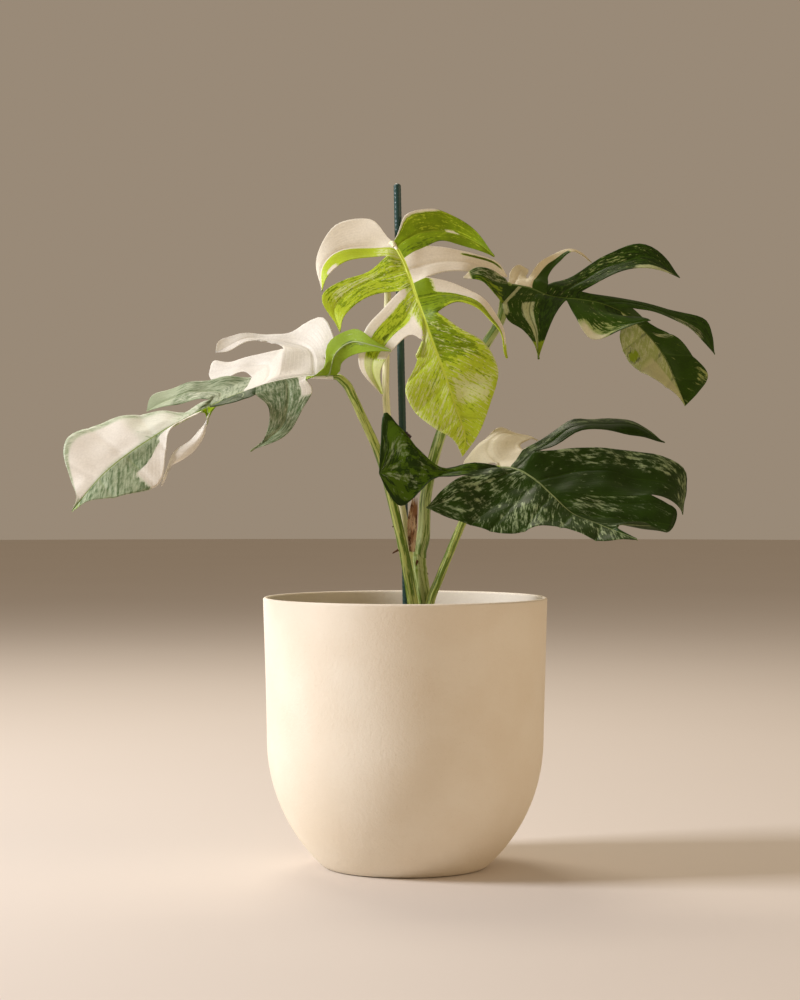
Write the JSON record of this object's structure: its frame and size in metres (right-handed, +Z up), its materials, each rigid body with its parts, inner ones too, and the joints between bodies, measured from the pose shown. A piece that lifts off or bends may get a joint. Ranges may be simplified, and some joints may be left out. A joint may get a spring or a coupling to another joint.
{
  "type": "potted monstera plant",
  "caption": "Variegated split-leaf climbing plant on a thin stake, in a nursery pot inside a round-bottomed matte pot.",
  "frame": {"origin": "centre of the outer pot's flat foot, on the surface it stands on", "axes": "+Z up along the pot's axis; +X to the right of the front, which faces -Y; the leaves spread along X"},
  "size_m": [0.4763, 0.216, 0.5078],
  "materials": {
    "stoneware": "warm cream, matte, fine sandy texture",
    "pot_plastic": "thin black moulded nursery pot",
    "potting_mix": "dark chunky bark and peat mix with white grit",
    "roots": "matted brown roots",
    "stem": "green living stem, satin",
    "stake_plastic": "dark teal plastic coating, satin",
    "tie_wire": "dark coated tie wire",
    "dry_sheath": "dry papery tan sheath with dark flecks",
    "petiole_pale": "cream and pale green leaf stalk",
    "petiole_green": "green leaf stalk with pale streaks",
    "leaf_lime": "lime green blade with cream streaks and sectors",
    "leaf_silver": "grey-green and white marbled blade",
    "leaf_dark": "dark green blade with cream flecks"
  },
  "bodies": {
    "root": {"outer_pot": "stoneware", "nursery_pot": "pot_plastic", "nursery_rim": "pot_plastic", "potting_mix": "potting_mix", "root_ball": "roots", "main_stem": "stem", "support_stake": "stake_plastic", "plant_tie": "tie_wire", "dried_sheath": "dry_sheath", "petiole_center": "petiole_pale", "petiole_left": "petiole_green", "petiole_right": "petiole_green", "petiole_low": "petiole_green", "leaf_center": "leaf_lime", "leaf_left": "leaf_silver", "leaf_right": "leaf_dark", "leaf_low": "leaf_dark"}
  },
  "joints": []
}
